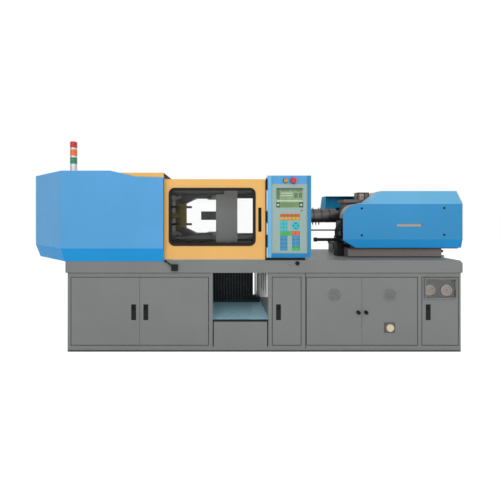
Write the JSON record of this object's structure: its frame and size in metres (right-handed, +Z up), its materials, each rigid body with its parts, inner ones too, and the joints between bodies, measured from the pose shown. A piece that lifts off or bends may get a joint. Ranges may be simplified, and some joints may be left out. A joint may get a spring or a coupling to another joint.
{
  "type": "injection moulding machine",
  "caption": "Horizontal injection moulding machine: toggle clamp behind sliding guard doors, operator panel, screw injection unit on a sliding carriage, cabinet base.",
  "frame": {"origin": "on the floor, under the middle of the machine's box", "axes": "+X from the clamp end to the injection end, +Y from the operator side to the rear side, +Z up"},
  "size_m": [4.642, 1.12, 2.142],
  "materials": {
    "base_grey": "semi-gloss grey paint",
    "cover_blue": "gloss sky-blue paint",
    "guard_yellow": "semi-gloss warm yellow paint",
    "black_trim": "matt black",
    "clear_pane": "clear polycarbonate sheet",
    "platen_grey": "machined and painted casting",
    "bright_steel": "ground steel",
    "chute_grey": "pale blue-grey sheet",
    "lens_red": "translucent red",
    "lens_amber": "translucent amber",
    "lens_green": "translucent green",
    "tower_silver": "satin",
    "face_grey": "printed membrane",
    "screen_green": "lit display",
    "key_caps": "printed membrane keys",
    "heater_metal": "heat-tinted steel",
    "hose_black": "smooth black rubber",
    "button_red": "gloss red",
    "button_amber": "gloss amber"
  },
  "bodies": {
    "machine": {"base_frame": "base_grey", "levelling_feet": "black_trim", "drop_chute": "chute_grey", "chute_grille": "black_trim", "oil_tank": "base_grey", "pump_motor": "base_grey", "electrical_panel": "face_grey", "clamp_cover_front": "cover_blue", "clamp_cover_rear": "cover_blue", "clamp_roof": "guard_yellow", "tower_stem": "tower_silver", "tower_red": "lens_red", "tower_amber": "lens_amber", "tower_green": "lens_green", "door_rails": "bright_steel", "rear_guard": "cover_blue", "tail_platen": "platen_grey", "fixed_platen": "platen_grey", "tie_bars": "bright_steel", "clamp_cylinder": "platen_grey", "control_housing": "cover_blue", "control_face": "face_grey", "control_display": "screen_green", "control_keys": "key_caps", "control_bracket": "black_trim", "injection_bed": "base_grey", "carriage_guides": "black_trim"},
    "moving_platen": {"moving_platen": "platen_grey", "ejector_cylinder": "black_trim"},
    "ejector": {"ejector_rod": "bright_steel"},
    "upper_rear": {"upper_rear_link": "platen_grey"},
    "upper_front": {"upper_front_link": "platen_grey"},
    "lower_rear": {"lower_rear_link": "platen_grey"},
    "lower_front": {"lower_front_link": "platen_grey"},
    "crosshead": {"crosshead": "bright_steel"},
    "front_door": {"front_door": "guard_yellow", "front_door_window": "clear_pane", "front_door_trim": "black_trim"},
    "rear_door": {"rear_door": "guard_yellow", "rear_door_window": "clear_pane", "rear_door_trim": "black_trim"},
    "carriage": {"carriage": "platen_grey", "barrel": "bright_steel", "heater_bands": "heater_metal", "hopper_seat": "platen_grey", "injection_cover_front": "cover_blue", "injection_cover_rear": "cover_blue", "carriage_hoses": "hose_black"},
    "ram": {"ram": "platen_grey"},
    "screw": {"screw": "bright_steel"},
    "clamp_door_left": {"clamp_door_left": "base_grey"},
    "clamp_door_right": {"clamp_door_right": "base_grey"},
    "middle_door": {"middle_door": "base_grey"},
    "pump_door_left": {"pump_door_left": "base_grey"},
    "pump_door_right": {"pump_door_right": "base_grey"},
    "gauge_door": {"gauge_door": "base_grey"},
    "pump_knob_left": {"pump_knob_left": "black_trim"},
    "pump_knob_right": {"pump_knob_right": "black_trim"},
    "stop_button": {"stop_button": "button_red"},
    "start_button": {"start_button": "button_amber"}
  },
  "joints": [
    {"name": "front_door_slide", "type": "slide", "parent": "machine", "child": "front_door", "axis": [-1, 0, 0], "range_m": [0, 0.85]},
    {"name": "rear_door_slide", "type": "slide", "parent": "machine", "child": "rear_door", "axis": [-1, 0, 0], "range_m": [0, 0.85]},
    {"name": "toggle_swing", "type": "hinge", "parent": "machine", "child": "upper_rear", "pos_m": [-0.73, 0, 1.605], "axis": [0, 1, 0], "range_deg": [0, 75]},
    {"name": "upper_knuckle", "type": "hinge", "parent": "upper_rear", "child": "upper_front", "pos_m": [-0.55, 0, 1.605], "axis": [0, 1, 0], "range_deg": [-150, 0]},
    {"name": "platen_pivot", "type": "hinge", "parent": "upper_front", "child": "moving_platen", "pos_m": [-0.37, 0, 1.605], "axis": [0, 1, 0], "range_deg": [0, 75]},
    {"name": "lower_swing", "type": "hinge", "parent": "machine", "child": "lower_rear", "pos_m": [-0.73, 0, 1.145], "axis": [0, -1, 0], "range_deg": [0, 75]},
    {"name": "lower_knuckle", "type": "hinge", "parent": "lower_rear", "child": "lower_front", "pos_m": [-0.55, 0, 1.145], "axis": [0, -1, 0], "range_deg": [-150, 0]},
    {"name": "crosshead_slide", "type": "slide", "parent": "machine", "child": "crosshead", "axis": [-1, 0, 0], "range_m": [0, 0.1096]},
    {"name": "ejector_slide", "type": "slide", "parent": "moving_platen", "child": "ejector", "axis": [1, 0, 0], "range_m": [0, 0.08]},
    {"name": "carriage_slide", "type": "slide", "parent": "machine", "child": "carriage", "axis": [1, 0, 0], "range_m": [0, 0.25]},
    {"name": "ram_slide", "type": "slide", "parent": "carriage", "child": "ram", "axis": [1, 0, 0], "range_m": [0, 0.16]},
    {"name": "screw_turn", "type": "hinge", "parent": "ram", "child": "screw", "pos_m": [1, 0, 1.375], "axis": [1, 0, 0], "continuous": true},
    {"name": "clamp_door_left_swing", "type": "hinge", "parent": "machine", "child": "clamp_door_left", "pos_m": [-1.741, -0.494, 0.41], "axis": [0, 0, -1], "range_deg": [0, 110]},
    {"name": "clamp_door_right_swing", "type": "hinge", "parent": "machine", "child": "clamp_door_right", "pos_m": [-0.373, -0.494, 0.41], "axis": [0, 0, 1], "range_deg": [0, 110]},
    {"name": "middle_door_swing", "type": "hinge", "parent": "machine", "child": "middle_door", "pos_m": [0.561, -0.494, 0.41], "axis": [0, 0, 1], "range_deg": [0, 90]},
    {"name": "pump_door_left_swing", "type": "hinge", "parent": "machine", "child": "pump_door_left", "pos_m": [0.633, -0.494, 0.41], "axis": [0, 0, -1], "range_deg": [0, 90]},
    {"name": "pump_door_right_swing", "type": "hinge", "parent": "machine", "child": "pump_door_right", "pos_m": [1.734, -0.494, 0.41], "axis": [0, 0, 1], "range_deg": [0, 90]},
    {"name": "gauge_door_swing", "type": "hinge", "parent": "machine", "child": "gauge_door", "pos_m": [2.146, -0.494, 0.41], "axis": [0, 0, 1], "range_deg": [0, 110]},
    {"name": "pump_knob_left_turn", "type": "hinge", "parent": "pump_door_left", "child": "pump_knob_left", "pos_m": [1.1455, -0.5, 0.4], "axis": [0, 1, 0], "range_deg": [0, 90]},
    {"name": "pump_knob_right_turn", "type": "hinge", "parent": "pump_door_right", "child": "pump_knob_right", "pos_m": [1.2215, -0.5, 0.4], "axis": [0, -1, 0], "range_deg": [0, 90]},
    {"name": "stop_press", "type": "slide", "parent": "machine", "child": "stop_button", "axis": [0, 1, 0], "range_m": [0, 0.005], "stiffness_N_per_m": 600},
    {"name": "start_press", "type": "slide", "parent": "machine", "child": "start_button", "axis": [0, 1, 0], "range_m": [0, 0.004], "stiffness_N_per_m": 400}
  ],
  "couplings": [
    {"joint": "upper_knuckle", "follows": "toggle_swing", "ratio": -2},
    {"joint": "platen_pivot", "follows": "toggle_swing", "ratio": 1},
    {"joint": "lower_swing", "follows": "toggle_swing", "ratio": 1},
    {"joint": "lower_knuckle", "follows": "toggle_swing", "ratio": -2},
    {"joint": "crosshead_slide", "follows": "toggle_swing", "m_per_rad": 0.0837}
  ]
}
